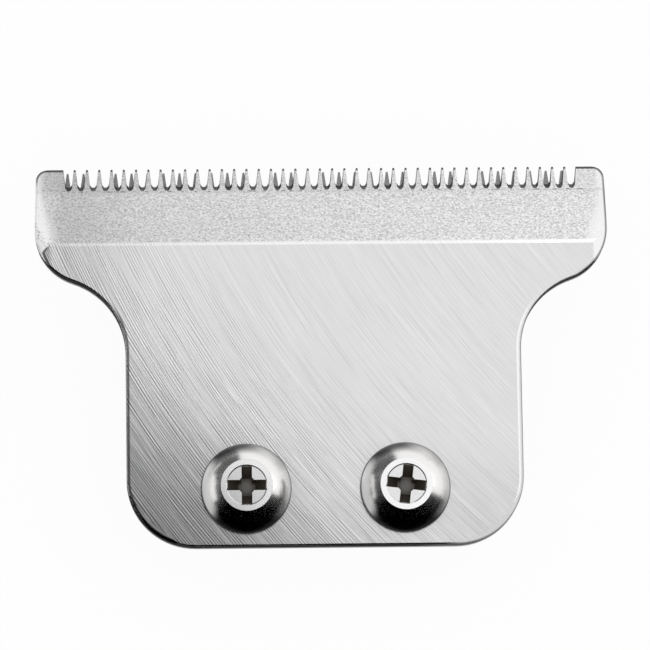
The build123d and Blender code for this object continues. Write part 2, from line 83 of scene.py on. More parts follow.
class Graph:
    """The node graph of one material, with short calls for the nodes that the finishes share."""

    def __init__(self, name):
        self.material = bpy.data.materials.new(name)
        self.material.use_nodes = True
        self.nodes = self.material.node_tree.nodes
        self.links = self.material.node_tree.links
        self.shader = self.nodes["Principled BSDF"]
        self.coordinates = self.node("ShaderNodeTexCoord").outputs
        self.place = self.vector("DIVIDE", self.coordinates["Object"], (MM, MM, MM))

    def feed(self, socket, value):
        if isinstance(value, bpy.types.NodeSocket):
            self.links.new(value, socket)
        else:
            socket.default_value = value

    def node(self, kind, **settings):
        node = self.nodes.new(kind)
        for name, value in settings.items():
            setattr(node, name, value)
        return node

    def fed(self, node, *values):
        """Feeds a node's inputs in turn and gives its outputs."""
        for socket, value in zip(node.inputs, values):
            self.feed(socket, value)
        return node.outputs

    def math(self, operation, *values):
        return self.fed(self.node("ShaderNodeMath", operation=operation), *values)[0]

    def vector(self, operation, *values):
        return self.fed(self.node("ShaderNodeVectorMath", operation=operation), *values)["Vector"]

    def split(self, vector):
        return self.fed(self.node("ShaderNodeSeparateXYZ"), vector)

    def length(self, x, y):
        """How far a place with two coordinates is from their origin."""
        squares = [self.math("MULTIPLY", side, side) for side in (x, y)]
        return self.math("SQRT", self.math("ADD", *squares))

    def step(self, value, start, end, low=0.0, high=1.0):
        """A smooth change from low at start to high at end."""
        node = self.node("ShaderNodeMapRange", interpolation_type="SMOOTHSTEP")
        return self.fed(node, value, start, end, low, high)[0]

    def line(self, distance, width):
        """A soft line where a distance is zero."""
        return self.step(self.math("ABSOLUTE", distance), LINE_FADE * width, LINE_CORE * width)

    def share(self, *masks):
        """The product of masks."""
        product = masks[0]
        for mask in masks[1:]:
            product = self.math("MULTIPLY", product, mask)
        return product

    def union(self, *masks):
        """The strongest of some masks."""
        strongest = masks[0]
        for mask in masks[1:]:
            strongest = self.math("MAXIMUM", strongest, mask)
        return strongest

    def tint(self, factor, first, second):
        """A colour that goes from first to second."""
        node = self.node("ShaderNodeMix", data_type="RGBA")
        for place, amount in ((0, factor), (6, first), (7, second)):
            self.feed(node.inputs[place], amount)
        return node.outputs[2]

    def blend(self, factor, first, second):
        """A number that goes from first to second."""
        node = self.node("ShaderNodeMix", data_type="FLOAT")
        for place, amount in ((0, factor), (2, first), (3, second)):
            self.feed(node.inputs[place], amount)
        return node.outputs[0]

    def noise(self, vector, detail=2.0, roughness=0.5):
        node = self.node("ShaderNodeTexNoise")
        self.feed(node.inputs["Vector"], vector)
        node.inputs["Scale"].default_value = 1.0
        node.inputs["Detail"].default_value = detail
        node.inputs["Roughness"].default_value = roughness
        return node.outputs[0]

    def stretched(self, length, width, shift=0.0):
        """Coordinates for marks of one length along X and one width."""
        scaled = self.vector("DIVIDE", self.place, (length, width, width))
        return self.vector("ADD", scaled, (shift, shift, shift))

    def bump(self, height, depth):
        """Relief on the surface, with depth in millimetres for a height of one."""
        node = self.node("ShaderNodeBump")
        node.inputs["Strength"].default_value = 1.0
        node.inputs["Distance"].default_value = depth * MM
        self.feed(node.inputs["Height"], height)
        self.feed(self.shader.inputs["Normal"], node.outputs[0])

    def finish(self, colour, roughness, metallic):
        self.feed(self.shader.inputs["Base Color"], colour)
        self.feed(self.shader.inputs["Roughness"], roughness)
        self.feed(self.shader.inputs["Metallic"], metallic)
        return self.material


# Grinding marks of the plate, along wide arcs: length and width of each kind
GRINDING_CENTRE = (61.0, 52.0, 0.0)
GRINDING_RADIUS = 75.0
FINE_LINES = (9.0, 0.065)
SCORES = (3.5, 0.055)
GLINTS = (4.5, 0.055)
HATCH_SPACING = 0.17
HATCH_WANDER = (12.0, 0.8)
HATCH_WANDER_TURNS = 2.0
HATCH_PATCHES = (3.0, 0.4)

# Marks of the ground band and clouding of the body: length and width of each kind
BAND_GRAIN = (0.16, 0.1)
BAND_STREAKS = (2.6, 0.07)
BAND_PITS = (0.24, 0.13)
LINE_BREAKS = (0.3, 0.3)
CLOUDS = (6.0, 4.0)

# Levels of the noise between which each kind of mark sets in
SCORE_LEVELS = (0.6, 0.7)
GLINT_LEVELS = (0.6, 0.72)
HATCH_LEVELS = (0.3, 0.6)
GRAIN_LEVELS = (0.22, 0.72)
STREAK_LEVELS = (0.6, 0.85)
PIT_LEVELS = (0.64, 0.74)
BREAK_LEVELS = (0.55, 0.62)

# Directions on the front face in which the marks and the painted shade fade, and the distances along them
# between which they do
WEAR_DIRECTION = (0.65, 0.76)
WEAR_FADE = (9.0, -6.0)
LEFT_SHADE_FADE = (1.0, -12.0)
HATCH_DIRECTION = (0.76, 0.64)
HATCH_FADE = (8.0, -12.0)

# Ranges over which a finish of the plate, its painted shade or its painted highlights set in
MIDDLE_X = (-1.0, 1.0)
RIGHT_HALF_X = (0.0, 1.0)
RIGHT_SHADE_X = (6.0, 11.0)
RIGHT_SHADE_Y = (4.0, -1.5)
FAR_LEFT_SHADE_X = (-11.5, -17.5)
FAR_LEFT_SHADE_INSET = (0.9, 2.2)
RIDGE_HIGHLIGHT_X = (-16.0, -4.0)
LEFT_BLOCK_X = (-17.5, -18.5)
LEFT_END_X = (2.0 - HALF_WIDTH, 1.5 - HALF_WIDTH)
ENDS_OUT = (HALF_WIDTH - 2.5, HALF_WIDTH - 1.5)
CORNER_X = (8.0, 9.5)
CORNER_Y = (1.5, 0.5)
CORNER_INSET = (0.14, 0.42)
NECK_FOOT_Y = (PLATE_LOW.y, PLATE_LOW.y + 2.0)
LIT_NECK_Y = (-2.5, 0.5)
NECK_TOP_Y = (FLARE_START + 4.0, FLARE_START + 2.0)
RIM_STARTS_Y = (RIDGE_Y - 1.7, RIDGE_Y - 0.4)
RIM_SPREADS_Y = (RIDGE_Y - 0.5, RIDGE_Y + 0.1)
RIM_LINE_TOP_Y = (RIDGE_Y + 0.05, RIDGE_Y - 0.15)
BAND_Y = (RIDGE_Y + 0.6 * RIDGE_BEVEL_WIDTH, RIDGE_Y + RIDGE_BEVEL_WIDTH)
TOOTH_ROOT_Y = (ROOT_Y - 0.3, ROOT_Y - 0.1)
END_CORNER_Y = (ROOT_Y, TIPS_Y - 0.5 * TOP_CORNER_RADIUS)
TORN_Z = (PLATE_FRONT - 0.6 * PLATE_THICKNESS, PLATE_FRONT - 0.75 * PLATE_THICKNESS)

# How squarely a face of the plate looks forward: flat, rolled over or bevelled, and cut through
FLAT_TO_ROLLED = (0.998, 0.98)
RIDGE_SLOPE = (0.97, 0.9)
TOOTH_WALL = (0.92, 0.75)
SHEARED_WALL = (0.5, 0.2)

# How far a face of the plate looks sideways at its bevelled ends
END_BEVEL_SLOPE = (0.2, 0.32)

# Widths of the polished band ends, of the rim of the left end with its painted highlight, of the painted
# shade lines and the painted highlight line along the plate's edges, and of the line at the tooth roots
END_POLISH_AT_RIDGE = 2.0
END_POLISH_AT_ROOT = 0.8
END_POLISH_FADE = (1.0, 0.3)
RIM_WIDTH = 0.2
RIM_SPREAD = 0.5
RIM_EDGE = (-0.03, 0.05)
RIM_LINE = (0.14, 0.03)
END_LINE_INSET = 0.2
END_LINE = (END_LINE_INSET, 0.3 * END_LINE_INSET)
NECK_LINE_INSET = 0.17
LIT_EDGE_INSET = 1.5 * NECK_LINE_INSET
LIT_EDGE_WIDTH = 0.8 * NECK_LINE_INSET
ROOT_LINE = (0.06, 0.02)
ROOT_LINE_DROP = 0.06
LEFT_ROOT_LINE_RISE = 0.07

# How strongly the marks, the wear, the painted shade and the painted edge lines show
WORN_LEAST, WORN_MOST = 0.3, 0.95
SCORE_STRENGTH = 0.8
GLINT_STRENGTH = 0.9
HATCH_TROUGHS = -0.8
HATCH_CRESTS = 2.0
PAINTED_SHADE_LEFT = 0.39
PAINTED_SHADE_RIGHT = 0.1
FAR_LEFT_SHADE = 0.13
BEVEL_SHADE = 0.4
END_LINE_LEFT, END_LINE_RIGHT = 0.15, 0.8
RIM_LINE_STRENGTH = 0.9
NECK_LINE_LEFT, NECK_LINE_RIGHT = 0.85, 0.6
TOOTH_DARKENING = 0.2

# Greys of the blade steel, with the painted shade and painted highlights on it
BODY_DARK, BODY_LIGHT = grey(0.56), grey(0.97)
SCORE_GREY = grey(0.5)
BAND_DARK = grey(0.48)
STREAK_GREY = grey(0.5)
PIT_GREY = grey(0.4)
BAND_END_GREY = grey(0.9)
ROOT_LINE_GREY = grey(0.22)
RIDGE_HIGHLIGHT_LEFT, RIDGE_HIGHLIGHT_RIGHT = grey(0.86), grey(0.96)
LEFT_RIM_HIGHLIGHT = grey(0.86)
RIGHT_BEVEL_SHADE = grey(0.58)
RIGHT_CORNER_LIGHT = grey(0.82)
LEFT_CORNER_SHADE = grey(0.28)
EDGE_SHADE_GREY = grey(0.06)
TOOTH_GREY = grey(0.45)
SHEARED_SHADE = grey(0.06)
TORN_GREY = grey(0.5)

# Roughness, metal share and relief of the blade steel
BODY_ROUGHNESS = (0.17, 0.21)
BAND_ROUGHNESS = (0.36, 0.5)
BAND_END_ROUGHNESS = 0.2
SHEARED_ROUGHNESS = 0.5
FLAT_METAL, ROLLED_METAL, MATT_METAL = 0.7, 1.0, 0.1
SCORE_RELIEF = 0.4
PIT_RELIEF = -0.8
BLADE_RELIEF = 0.006


class BladeSteel(Graph):
    """The fixed blade's steel: ground body, grainy band, polished ridge, sheared walls and tooth gaps."""

    def __init__(self):
        super().__init__("brushed_blade_steel")
        self.x, self.y, self.z = self.split(self.place)
        self.out = self.math("ABSOLUTE", self.x)
        self.down = self.math("MULTIPLY", self.y, -1.0)
        self.from_end = self.math("SUBTRACT", HALF_WIDTH, self.out)
        across, _, forward = self.split(self.coordinates["Normal"])
        self.sideways = self.math("ABSOLUTE", across)
        self.facing = self.math("ABSOLUTE", forward)
        self.right = self.step(self.x, *MIDDLE_X)
        self.in_band = self.step(self.y, *BAND_Y)
        self.in_teeth = self.step(self.y, *TOOTH_ROOT_Y)
        self.on_neck = self.step(self.y, *NECK_TOP_Y)
        self.flare = self.flare_inset()
        self.neck = self.neck_inset()
        self.lit_rim_depth = self.lit_rim_inset()

    def slant(self, direction):
        """Distance along a direction on the front face."""
        parts = [self.math("MULTIPLY", side, share) for side, share in zip((self.x, self.y), direction)]
        return self.math("ADD", *parts)

    def inset(self, x, y, radius, centre_x, centre_y):
        """Depth inside a rounded corner."""
        across = self.math("MAXIMUM", self.math("SUBTRACT", x, centre_x), 0.0)
        up = self.math("MAXIMUM", self.math("SUBTRACT", y, centre_y), 0.0)
        return self.math("SUBTRACT", radius, self.length(across, up))

    def flare_inset(self):
        """Depth inside the round end below the cutting edge."""
        centre_x = HALF_WIDTH - FLARE_OUTER_RADIUS
        return self.inset(self.out, self.down, FLARE_OUTER_RADIUS, centre_x, -FLARE_TOP_Y)

    def neck_inset(self):
        """Depth inside the neck's edges and bottom corners."""
        across = self.math("SUBTRACT", NECK_HALF_WIDTH + FLARE_INNER_RADIUS, self.out)
        up = self.math("MAXIMUM", self.math("SUBTRACT", self.y, FLARE_START), 0.0)
        hollow = self.math("SUBTRACT", self.length(across, up), FLARE_INNER_RADIUS)
        corner_x = NECK_HALF_WIDTH - BOTTOM_CORNER_RADIUS
        corner = self.inset(self.out, self.down, BOTTOM_CORNER_RADIUS, corner_x, -BOTTOM_CORNER_Y)
        straight = self.math("SUBTRACT", NECK_HALF_WIDTH, self.out)
        return self.math("ADD", hollow, self.math("SUBTRACT", corner, straight))

    def lit_rim_inset(self):
        """How far a place below the ridge lies inside the rim of the left end, which carries a painted
        highlight.
        """
        rim = self.step(self.y, *RIM_STARTS_Y, high=RIM_WIDTH)
        rim = self.math("ADD", rim, self.step(self.y, *RIM_SPREADS_Y, high=RIM_SPREAD))
        return self.math("SUBTRACT", self.flare, rim)

    def arcs(self, length, width, shift=0.0):
        """Coordinates for marks of one length and width along the wide arcs that grinding leaves."""
        x, y, z = self.split(self.vector("SUBTRACT", self.place, GRINDING_CENTRE))
        turn = self.math("ARCTAN2", y, x)
        along = self.math("MULTIPLY_ADD", turn, GRINDING_RADIUS / length, shift)
        across = self.math("DIVIDE", self.length(x, y), width)
        return self.fed(self.node("ShaderNodeCombineXYZ"), along, across, z)[0]

    def hatching(self):
        """Close lines along the grinding arcs, uneven in spacing and depth, from -1 to 1."""
        lines = self.split(self.arcs(length=1.0, width=HATCH_SPACING))[1]
        wander = self.noise(self.arcs(*HATCH_WANDER, shift=47.0), detail=1.0)
        turns = self.math("MULTIPLY_ADD", wander, HATCH_WANDER_TURNS, lines)
        wave = self.math("SINE", self.math("MULTIPLY", turns, 2 * math.pi))
        patches = self.noise(self.arcs(*HATCH_PATCHES, shift=53.0), detail=0.0)
        depth = self.step(patches, *HATCH_LEVELS)
        return self.share(wave, depth, self.step(self.slant(HATCH_DIRECTION), *HATCH_FADE))

    def grinding(self):
        """Fine lines round a half, dark scores and bright glints, weaker towards the upper right."""
        worn = self.step(self.slant(WEAR_DIRECTION), *WEAR_FADE, WORN_LEAST, WORN_MOST)
        fine = self.noise(self.arcs(*FINE_LINES), detail=1.0)
        fine = self.math("MULTIPLY_ADD", self.math("SUBTRACT", fine, 0.5), worn, 0.5)
        scores = self.step(self.noise(self.arcs(*SCORES, shift=7.0), detail=0.0), *SCORE_LEVELS)
        glints = self.step(self.noise(self.arcs(*GLINTS, shift=31.0), detail=0.0), *GLINT_LEVELS)
        return fine, self.share(scores, worn), self.share(glints, worn)

    def body(self, fine, scores, glints):
        """Colour of the ground face, with painted shade towards its lower corners."""
        colour = self.tint(fine, BODY_DARK, BODY_LIGHT)
        colour = self.tint(self.share(scores, SCORE_STRENGTH), colour, SCORE_GREY)
        colour = self.tint(self.share(glints, GLINT_STRENGTH), colour, WHITE)
        hatching = self.hatching()
        colour = self.tint(self.share(hatching, HATCH_TROUGHS), colour, BLACK)
        colour = self.tint(self.share(hatching, HATCH_CRESTS), colour, WHITE)
        # Painted shade: the face is darkened a little towards its lower right, and more towards its lower
        # left.
        right_corner = self.share(self.step(self.x, *RIGHT_SHADE_X), self.step(self.y, *RIGHT_SHADE_Y))
        right_corner = self.share(right_corner, PAINTED_SHADE_RIGHT)
        left_corner = self.step(self.slant(WEAR_DIRECTION), *LEFT_SHADE_FADE, high=PAINTED_SHADE_LEFT)
        return self.tint(self.union(right_corner, left_corner), colour, BLACK)

    def root_line(self):
        """The broken line that the grinding of the teeth leaves along their roots."""
        line_y = self.step(self.x, *LEFT_BLOCK_X, ROOT_Y - ROOT_LINE_DROP, ROOT_Y + LEFT_ROOT_LINE_RISE)
        distance = self.math("ABSOLUTE", self.math("SUBTRACT", self.y, line_y))
        broken = self.step(self.noise(self.stretched(*LINE_BREAKS, shift=23.0)), *BREAK_LEVELS)
        return self.share(self.step(distance, *ROOT_LINE), broken)

    def band(self, grain, pits, ends):
        """Colour of the ground band, polished at its ends."""
        colour = self.tint(self.step(grain, *GRAIN_LEVELS), BAND_DARK, WHITE)
        streaks = self.noise(self.stretched(*BAND_STREAKS, shift=5.0))
        colour = self.tint(self.step(streaks, *STREAK_LEVELS), colour, STREAK_GREY)
        colour = self.tint(pits, colour, PIT_GREY)
        colour = self.tint(ends, colour, BAND_END_GREY)
        return self.tint(self.root_line(), colour, ROOT_LINE_GREY)

    def band_ends(self):
        """Where the ends of the band are polished."""
        width = self.step(self.y, RIDGE_Y, ROOT_Y, END_POLISH_AT_RIDGE, END_POLISH_AT_ROOT)
        return self.step(self.math("DIVIDE", self.from_end, width), *END_POLISH_FADE)

    def faces(self, body, band):
        """Colour of the body and the band, with painted shade at the far left, a painted highlight on the
        ridge between them, and painted highlight and painted shade on the bevelled ends.
        """
        colour = self.tint(self.in_band, body, band)
        # Painted shade: the far left of the faces is darkened, except close to the end itself.
        far_left_shade = self.step(self.x, *FAR_LEFT_SHADE_X, high=FAR_LEFT_SHADE)
        far_left_shade = self.share(far_left_shade, self.step(self.from_end, *FAR_LEFT_SHADE_INSET))
        colour = self.tint(far_left_shade, colour, BLACK)
        below_band = self.math("SUBTRACT", 1.0, self.in_band)
        on_ridge = self.share(self.step(self.facing, *RIDGE_SLOPE), below_band)
        # Painted highlight on the ridge and the other sloped faces below the band, weaker towards the left.
        ridge = self.tint(self.step(self.x, *RIDGE_HIGHLIGHT_X), RIDGE_HIGHLIGHT_LEFT, RIDGE_HIGHLIGHT_RIGHT)
        colour = self.tint(on_ridge, colour, ridge)
        # Painted highlight round the left end's rim with painted shade inside it, and painted shade on the
        # right end's bevel.
        shaded = self.tint(BEVEL_SHADE, body, BLACK)
        left_bevel = self.tint(self.step(self.lit_rim_depth, *RIM_EDGE), LEFT_RIM_HIGHLIGHT, shaded)
        bevel = self.tint(self.right, left_bevel, RIGHT_BEVEL_SHADE)
        return self.tint(self.step(self.sideways, *END_BEVEL_SLOPE), colour, bevel)

    def rolled_corners(self):
        """Where stamping has rolled the bottom corners over: on the right, and deeper in on the left."""
        rolled = self.share(self.step(self.facing, *FLAT_TO_ROLLED), self.step(self.y, *CORNER_Y))
        start, end = CORNER_X
        on_right = self.share(rolled, self.step(self.x, start, end))
        on_left = self.share(rolled, self.step(self.x, -start, -end), self.step(self.neck, *CORNER_INSET))
        return on_right, on_left

    def end_lines(self):
        """Painted shade: dark lines just inside the ends of the blade and round their corners, fainter down
        the left end, and inside the rim of the left end.
        """
        tapered = self.math("ADD", self.out, self.step(self.y, FLARE_TOP_Y, TIPS_Y, high=SIDE_TAPER))
        corner_x = HALF_WIDTH - TOP_CORNER_RADIUS
        corner_y = TIPS_Y - TOP_CORNER_RADIUS
        top = self.inset(tapered, self.y, TOP_CORNER_RADIUS, corner_x, corner_y)
        end_shade = self.step(self.math("MINIMUM", top, self.flare), *END_LINE)
        at_corner = self.step(self.y, *END_CORNER_Y)
        along_end = self.step(self.x, *RIGHT_HALF_X, END_LINE_LEFT, END_LINE_RIGHT)
        end_shade = self.share(end_shade, self.step(self.out, *ENDS_OUT), self.union(at_corner, along_end))
        rim = self.step(self.math("ABSOLUTE", self.lit_rim_depth), *RIM_LINE)
        rim = self.share(rim, self.step(self.y, *RIM_LINE_TOP_Y))
        rim = self.share(rim, self.step(self.x, *LEFT_END_X, high=RIM_LINE_STRENGTH))
        return self.union(end_shade, rim)

    def neck_lines(self):
        """Painted shade: dark lines along the neck, just inside its left edge and on its right edge."""
        left = self.line(self.math("SUBTRACT", self.neck, NECK_LINE_INSET), NECK_LINE_INSET)
        left = self.share(left, self.on_neck, NECK_LINE_LEFT, self.step(self.y, *NECK_FOOT_Y))
        right = self.share(self.line(self.neck, NECK_LINE_INSET), self.on_neck, NECK_LINE_RIGHT)
        return self.blend(self.right, left, right)

    def lit_edge(self):
        """The bright line just inside the neck's right edge."""
        line = self.line(self.math("SUBTRACT", self.neck, LIT_EDGE_INSET), LIT_EDGE_WIDTH)
        return self.share(line, self.on_neck, self.right, self.step(self.y, *LIT_NECK_Y))

    def walls(self):
        """Where the plate is cut through, and its walls' colour: painted shade, paler where the metal has
        torn.
        """
        cut = self.share(self.in_teeth, self.step(self.facing, *TOOTH_WALL))
        sheared = self.union(cut, self.step(self.facing, *SHEARED_WALL))
        torn = self.math("SUBTRACT", self.step(self.z, *TORN_Z), self.in_teeth)
        return sheared, self.tint(torn, SHEARED_SHADE, TORN_GREY)

    def build(self):
        """The whole finish, from the flat faces to the lines, walls and gaps over them."""
        fine, scores, glints = self.grinding()
        grain = self.noise(self.stretched(*BAND_GRAIN, shift=11.0), detail=2.0, roughness=0.6)
        pits = self.step(self.noise(self.stretched(*BAND_PITS, shift=19.0)), *PIT_LEVELS)
        ends = self.band_ends()
        colour = self.faces(self.body(fine, scores, glints), self.band(grain, pits, ends))
        right_corner, left_corner = self.rolled_corners()
        # Painted shade on the left rolled corner and a painted light grey on the right one, both made matt.
        colour = self.tint(right_corner, colour, RIGHT_CORNER_LIGHT)
        colour = self.tint(left_corner, colour, LEFT_CORNER_SHADE)
        colour = self.tint(self.lit_edge(), colour, WHITE)
        colour = self.tint(self.union(self.end_lines(), self.neck_lines()), colour, EDGE_SHADE_GREY)
        # The teeth are tinted a little darker.
        colour = self.tint(self.share(self.in_teeth, TOOTH_DARKENING), colour, TOOTH_GREY)
        sheared, wall = self.walls()
        # Painted shade on the cut walls and in the tooth gaps.
        colour = self.tint(sheared, colour, wall)

        cloud = self.noise(self.stretched(*CLOUDS, shift=3.0), detail=4.0)
        band_roughness = self.blend(ends, self.blend(grain, *BAND_ROUGHNESS), BAND_END_ROUGHNESS)
        roughness = self.blend(self.in_band, self.blend(cloud, *BODY_ROUGHNESS), band_roughness)
        roughness = self.blend(sheared, roughness, SHEARED_ROUGHNESS)

        relief = self.math("MULTIPLY_ADD", self.math("SUBTRACT", glints, scores), SCORE_RELIEF, fine)
        relief = self.blend(self.in_band, relief, self.math("MULTIPLY_ADD", pits, PIT_RELIEF, grain))
        self.bump(relief, BLADE_RELIEF)

        metallic = self.step(self.facing, *FLAT_TO_ROLLED, FLAT_METAL, ROLLED_METAL)
        metallic = self.blend(self.union(sheared, right_corner, left_corner), metallic, MATT_METAL)
        return self.finish(colour, roughness, metallic)


# Marks, faces and finish of the cutter's steel, its greys painted dark as painted shade
CUTTER_LINES = (3.0, 0.08)
CUTTER_WALL = (0.7, 0.4)
CUTTER_DARK, CUTTER_LIGHT = grey(0.14), grey(0.4)
CUTTER_WALL_SHADE = grey(0.12)
CUTTER_ROUGHNESS = (0.28, 0.42)
CUTTER_RELIEF = 0.004


def cutter_steel():
    """Ground steel with fine lines along the travel, painted darker than the comb as painted shade, and
    darker still on its walls.
    """
    steel = Graph("ground_cutter_steel")
    facing = steel.math("ABSOLUTE", steel.split(steel.coordinates["Normal"])[2])
    lines = steel.noise(steel.stretched(*CUTTER_LINES), detail=3.0, roughness=0.6)
    colour = steel.tint(lines, CUTTER_DARK, CUTTER_LIGHT)
    colour = steel.tint(steel.step(facing, *CUTTER_WALL), colour, CUTTER_WALL_SHADE)
    steel.bump(lines, CUTTER_RELIEF)
    return steel.finish(colour, steel.blend(lines, *CUTTER_ROUGHNESS), metallic=1.0)


# Ranges over which a finish, a painted highlight or painted shade of the screw heads sets in: outwards,
# across and upwards from their axis
RIM_OUT = (0.72 * HEAD_RADIUS, HEAD_RADIUS)
RIM_ACROSS = (-0.9 * HEAD_RADIUS, -0.5 * HEAD_RADIUS)
HEAD_SHADE_OUT = (0.68 * HEAD_RADIUS, 0.95 * HEAD_RADIUS)
HEAD_SHADE_ABOVE = (0.45 * HEAD_RADIUS, 0.75 * HEAD_RADIUS)
HEAD_SHADE_ACROSS = (0.45 * HEAD_RADIUS, -0.1 * HEAD_RADIUS)
HEAD_SHADE_BELOW = (-0.5 * HEAD_RADIUS, -0.75 * HEAD_RADIUS)
FOOT_OUT = (0.96 * HEAD_RADIUS, 0.99 * HEAD_RADIUS)
LEFT_RIM_MATT_ACROSS = (-0.6 * HEAD_RADIUS, -0.8 * HEAD_RADIUS)
LEFT_RIM_MATT_OUT = (0.74 * HEAD_RADIUS, 0.86 * HEAD_RADIUS)

# The flat land on a screw head, its dish and the darkening in its recess
LAND_OUT = (LAND_RADIUS, LAND_RADIUS - 0.05)
DISH_OUT = (DISH_RADIUS, DISH_RADIUS - 0.05)
RECESS_Z = (HEAD_TOP - 1.2 * DISH_DEPTH, HEAD_TOP - 2.5 * DISH_DEPTH)
RECESS_DARK_OUT = (0.15, 0.6)
SPECKLES = (0.12, 0.12)

# Greys, roughness, metal share and relief of the screws
HEAD_DULL, HEAD_BRIGHT = grey(0.84, 0.01), grey(0.92, 0.01)
RIM_SHADE = grey(0.48, 0.01)
HEAD_SHADE_GREY = grey(0.06)
FOOT_GREY = grey(0.12)
LAND_DULL = grey(0.9)
DISH_DULL, DISH_BRIGHT = grey(0.7), grey(0.9)
RECESS_DARK_MIDDLE, RECESS_DARK_ROUND = grey(0.16, 0.05), grey(0.055, 0.2)
DOME_ROUGHNESS = (0.2, 0.26)
LAND_ROUGHNESS = (0.12, 0.24)
PLATED_METAL, RECESS_METAL, LEFT_RIM_METAL_LOSS = 1.0, 0.2, 0.7
SCREW_RELIEF = 0.0002


def head_colour(plating, off_axis, y, radius, speckle):
    """Colour of a screw head's dome: a painted highlight at the left rim, painted shade round the rest of the
    rim and on its outer part above and below, and dark at its foot.
    """
    colour = plating.tint(speckle, HEAD_DULL, HEAD_BRIGHT)
    # Painted highlight: the rim is white at the far left, with painted shade grey round the rest of it.
    rim = plating.tint(plating.step(off_axis, *RIM_ACROSS), WHITE, RIM_SHADE)
    colour = plating.tint(plating.step(radius, *RIM_OUT), colour, rim)
    # Painted shade on the dome's outer part above and below.
    above = plating.share(plating.step(y, *HEAD_SHADE_ABOVE), plating.step(off_axis, *HEAD_SHADE_ACROSS))
    below = plating.step(y, *HEAD_SHADE_BELOW)
    head_shade = plating.share(plating.union(above, below), plating.step(radius, *HEAD_SHADE_OUT))
    colour = plating.tint(head_shade, colour, HEAD_SHADE_GREY)
    return plating.tint(plating.step(radius, *FOOT_OUT), colour, FOOT_GREY)


def screw_plating():
    """Bright plating, a little duller on the land and in its dish, and dark in the recess, darkest round its
    edge.
    """
    plating = Graph("bright_screw_plating")
    x, y, z = plating.split(plating.place)
    off_axis = plating.math("SUBTRACT", x, plating.share(plating.math("SIGN", x), SCREW_X))
    radius = plating.length(off_axis, y)
    speckle = plating.noise(plating.stretched(*SPECKLES), detail=2.0)
    land = plating.step(radius, *LAND_OUT)
    dish = plating.step(radius, *DISH_OUT)
    inside = plating.share(plating.step(z, *RECESS_Z), dish)
    colour = head_colour(plating, off_axis, y, radius, speckle)
    colour = plating.tint(land, colour, plating.tint(speckle, LAND_DULL, WHITE))
    colour = plating.tint(dish, colour, plating.tint(speckle, DISH_DULL, DISH_BRIGHT))
    recess_dark = plating.tint(plating.step(radius, *RECESS_DARK_OUT), RECESS_DARK_MIDDLE, RECESS_DARK_ROUND)
    colour = plating.tint(inside, colour, recess_dark)
    dome_roughness = plating.blend(speckle, *DOME_ROUGHNESS)
    roughness = plating.blend(land, dome_roughness, plating.blend(speckle, *LAND_ROUGHNESS))
    plating.bump(speckle, SCREW_RELIEF)
    # The left rim loses most of its metal share, so its painted white shows as a painted highlight.
    left_rim_matt = plating.step(off_axis, *LEFT_RIM_MATT_ACROSS, high=LEFT_RIM_METAL_LOSS)
    left_rim_matt = plating.share(left_rim_matt, plating.step(radius, *LEFT_RIM_MATT_OUT))
    metallic = plating.math("SUBTRACT", plating.blend(inside, PLATED_METAL, RECESS_METAL), left_rim_matt)
    return plating.finish(colour, roughness, metallic)


# Marks and finish of the spring's wire and of the plastic pieces
WIRE_LINES = (0.1, 4.0)
WIRE_DARK, WIRE_LIGHT = grey(0.46), grey(0.62)
WIRE_ROUGHNESS = (0.2, 0.34)
WIRE_RELIEF = 0.002
PLASTIC_FLOW = (5.0, 3.0)
FLOW_SHARE = 0.5
PLASTIC_RELIEF = 0.006


def spring_wire():
    """Drawn wire with faint lines along it."""
    wire = Graph("drawn_spring_wire")
    lines = wire.noise(wire.stretched(*WIRE_LINES), detail=2.0)
    colour = wire.tint(lines, WIRE_DARK, WIRE_LIGHT)
    wire.bump(lines, WIRE_RELIEF)
    return wire.finish(colour, wire.blend(lines, *WIRE_ROUGHNESS), metallic=1.0)


def moulded_plastic(name, dark, light, grain_size, roughness):
    """Moulded plastic with a fine grain, between two colours and two values of roughness."""
    plastic = Graph(name)
    grain = plastic.noise(plastic.stretched(grain_size, grain_size), detail=3.0, roughness=0.6)
    flow = plastic.noise(plastic.stretched(*PLASTIC_FLOW, shift=2.0))
    colour = plastic.tint(plastic.blend(FLOW_SHARE, grain, flow), dark, light)
    plastic.bump(grain, PLASTIC_RELIEF)
    return plastic.finish(colour, plastic.blend(grain, *roughness), metallic=0.0)


def dress(node, material):
    """Gives a CAD node its finish."""
    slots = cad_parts[node].data.materials
    slots.clear()
    slots.append(material)


# Studio
FLOOR_SIZE = 3000.0
FLOOR_DEPTH = 0.02
FLOOR_GREY = grey(0.95)
FLOOR_ROUGHNESS = 0.9
FLOOR_GLOW = 0.95
FILL_LEVEL = 0.85
LEFT_CARD_X = -90
LEFT_LIGHT_X = -110
FRONT_CARD_Y = -60
BACK_LIGHT_Y = 120
FLOOR_CARD_HEIGHT = 0.3
OVERHEAD_HEIGHT = 82.0


def show_white(tree, shader, level, output):
    """Lets the camera, metal and glass see white in place of a shader, by a share of level."""
    rays = tree.nodes.new("ShaderNodeLightPath")
    seen = rays.outputs["Is Camera Ray"]
    for kind in ("Is Glossy Ray", "Is Transmission Ray"):
        either = tree.nodes.new("ShaderNodeMath")
        either.operation = "MAXIMUM"
        tree.links.new(seen, either.inputs[0])
        tree.links.new(rays.outputs[kind], either.inputs[1])
        seen = either.outputs[0]
    share = tree.nodes.new("ShaderNodeMath")
    share.operation = "MULTIPLY"
    share.inputs[1].default_value = level
    tree.links.new(seen, share.inputs[0])
    mixed = tree.nodes.new("ShaderNodeMixShader")
    white = tree.nodes.new("ShaderNodeEmission")
    tree.links.new(share.outputs[0], mixed.inputs[0])
    tree.links.new(shader, mixed.inputs[1])
    tree.links.new(white.outputs[0], mixed.inputs[2])
    tree.links.new(mixed.outputs[0], output)


